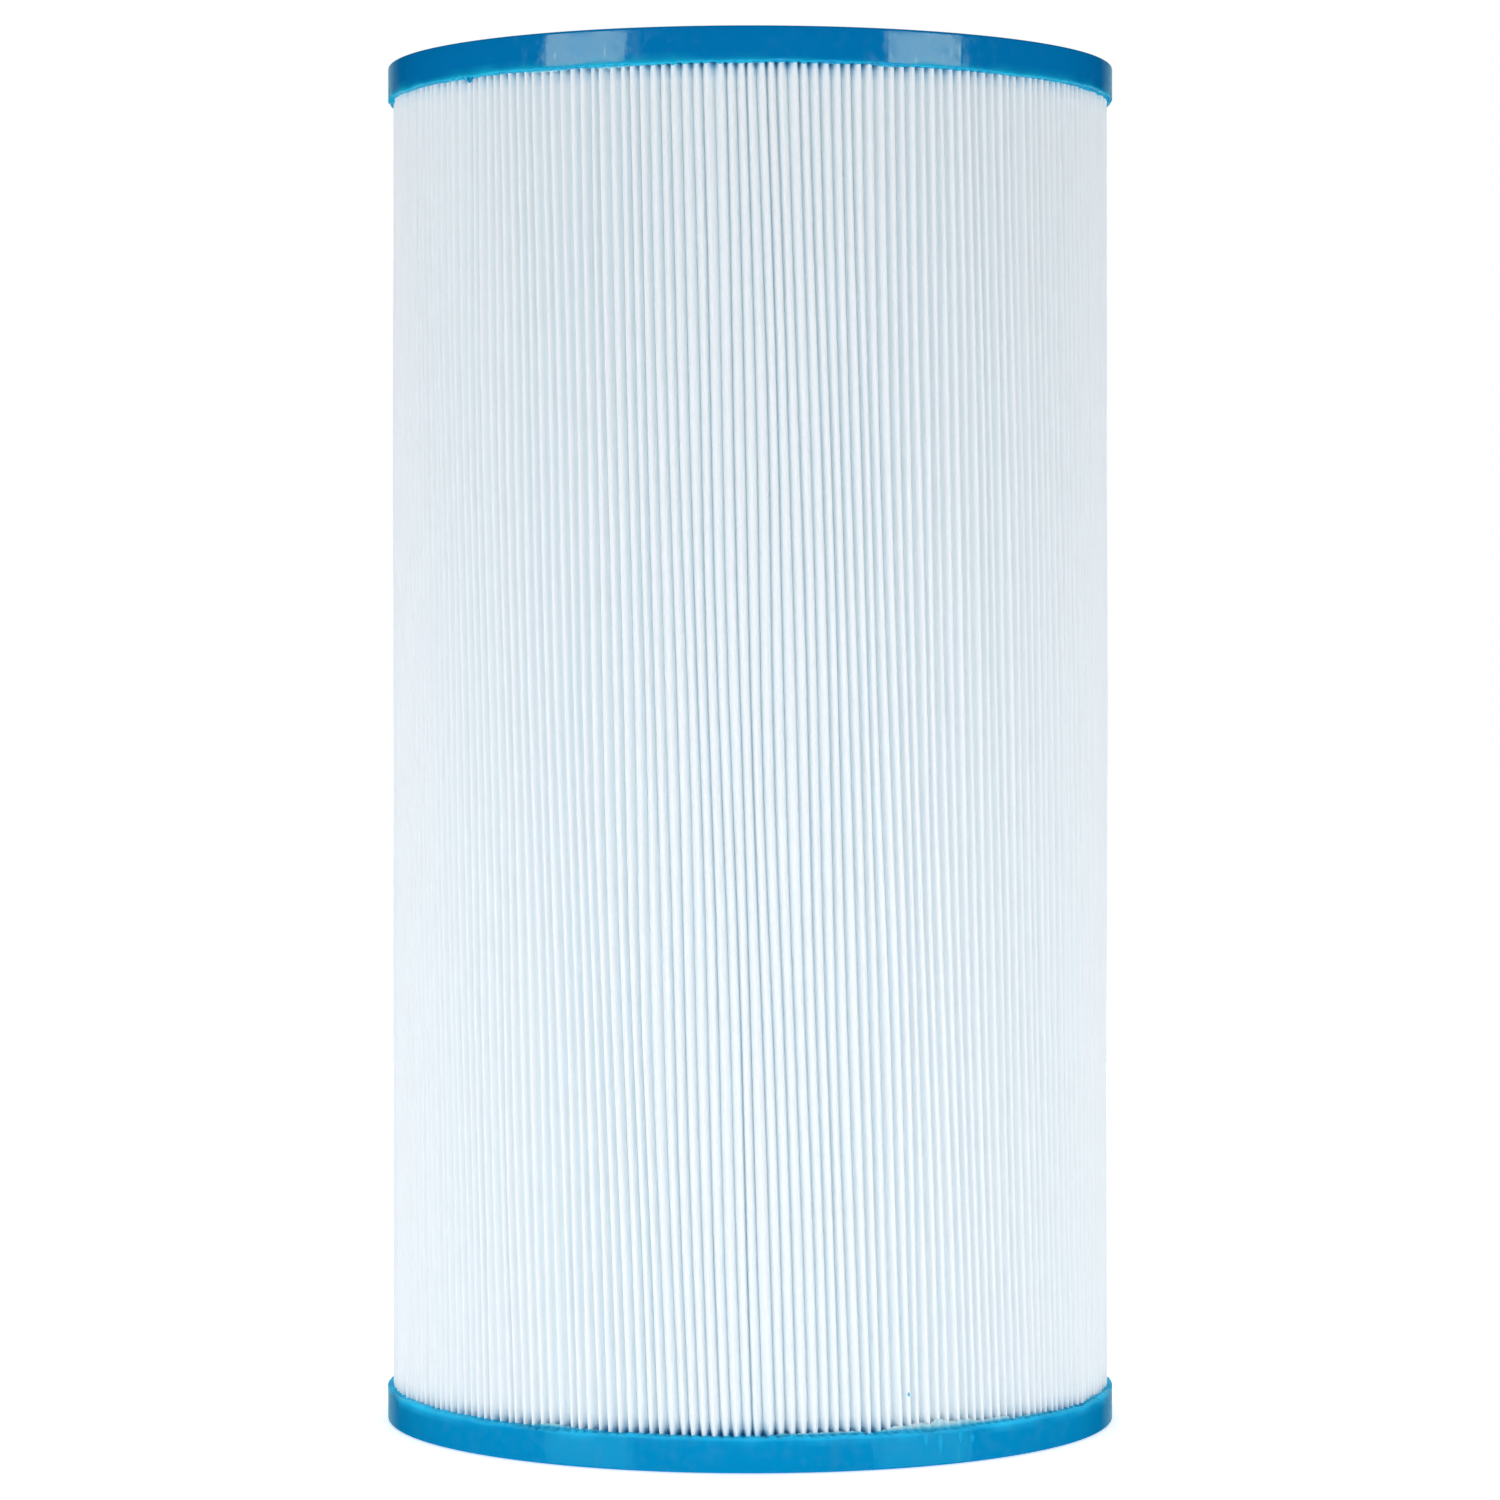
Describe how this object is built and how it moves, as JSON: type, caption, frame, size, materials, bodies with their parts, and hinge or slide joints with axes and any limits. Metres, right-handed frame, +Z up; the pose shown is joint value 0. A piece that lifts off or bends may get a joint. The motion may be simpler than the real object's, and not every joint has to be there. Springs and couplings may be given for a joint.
{
  "type": "pleated filter cartridge",
  "caption": "Cylindrical pleated water filter cartridge with cast blue end caps, white folded media and an open bore lined by a windowed core.",
  "frame": {"origin": "centre of the bottom cap's sealing face, on the bore axis, at the height where the cartridge stands", "axes": "+Z runs up the bore axis towards the top cap; the side seam of the media is at +Y, at the back; X and Y are otherwise arbitrary because the cartridge is round"},
  "size_m": [0.227, 0.227, 0.422],
  "materials": {
    "blue_urethane": "gloss cast polyurethane, as poured, with rounded edges and a wavy meniscus along the pleats",
    "white_polyester": "matt point-bonded spunbonded polyester with a fine fibre mottle, blue-grey in the folds",
    "hot_melt": "milky hot-melt bead, satin",
    "white_core_plastic": "satin injection moulding"
  },
  "bodies": {
    "root": {"top_end_cap": "blue_urethane", "bottom_end_cap": "blue_urethane", "pleated_media": "white_polyester", "side_seam_strip": "hot_melt", "core_section_1": "white_core_plastic", "core_section_2": "white_core_plastic", "core_section_3": "white_core_plastic", "core_section_4": "white_core_plastic", "core_section_5": "white_core_plastic"}
  },
  "joints": []
}
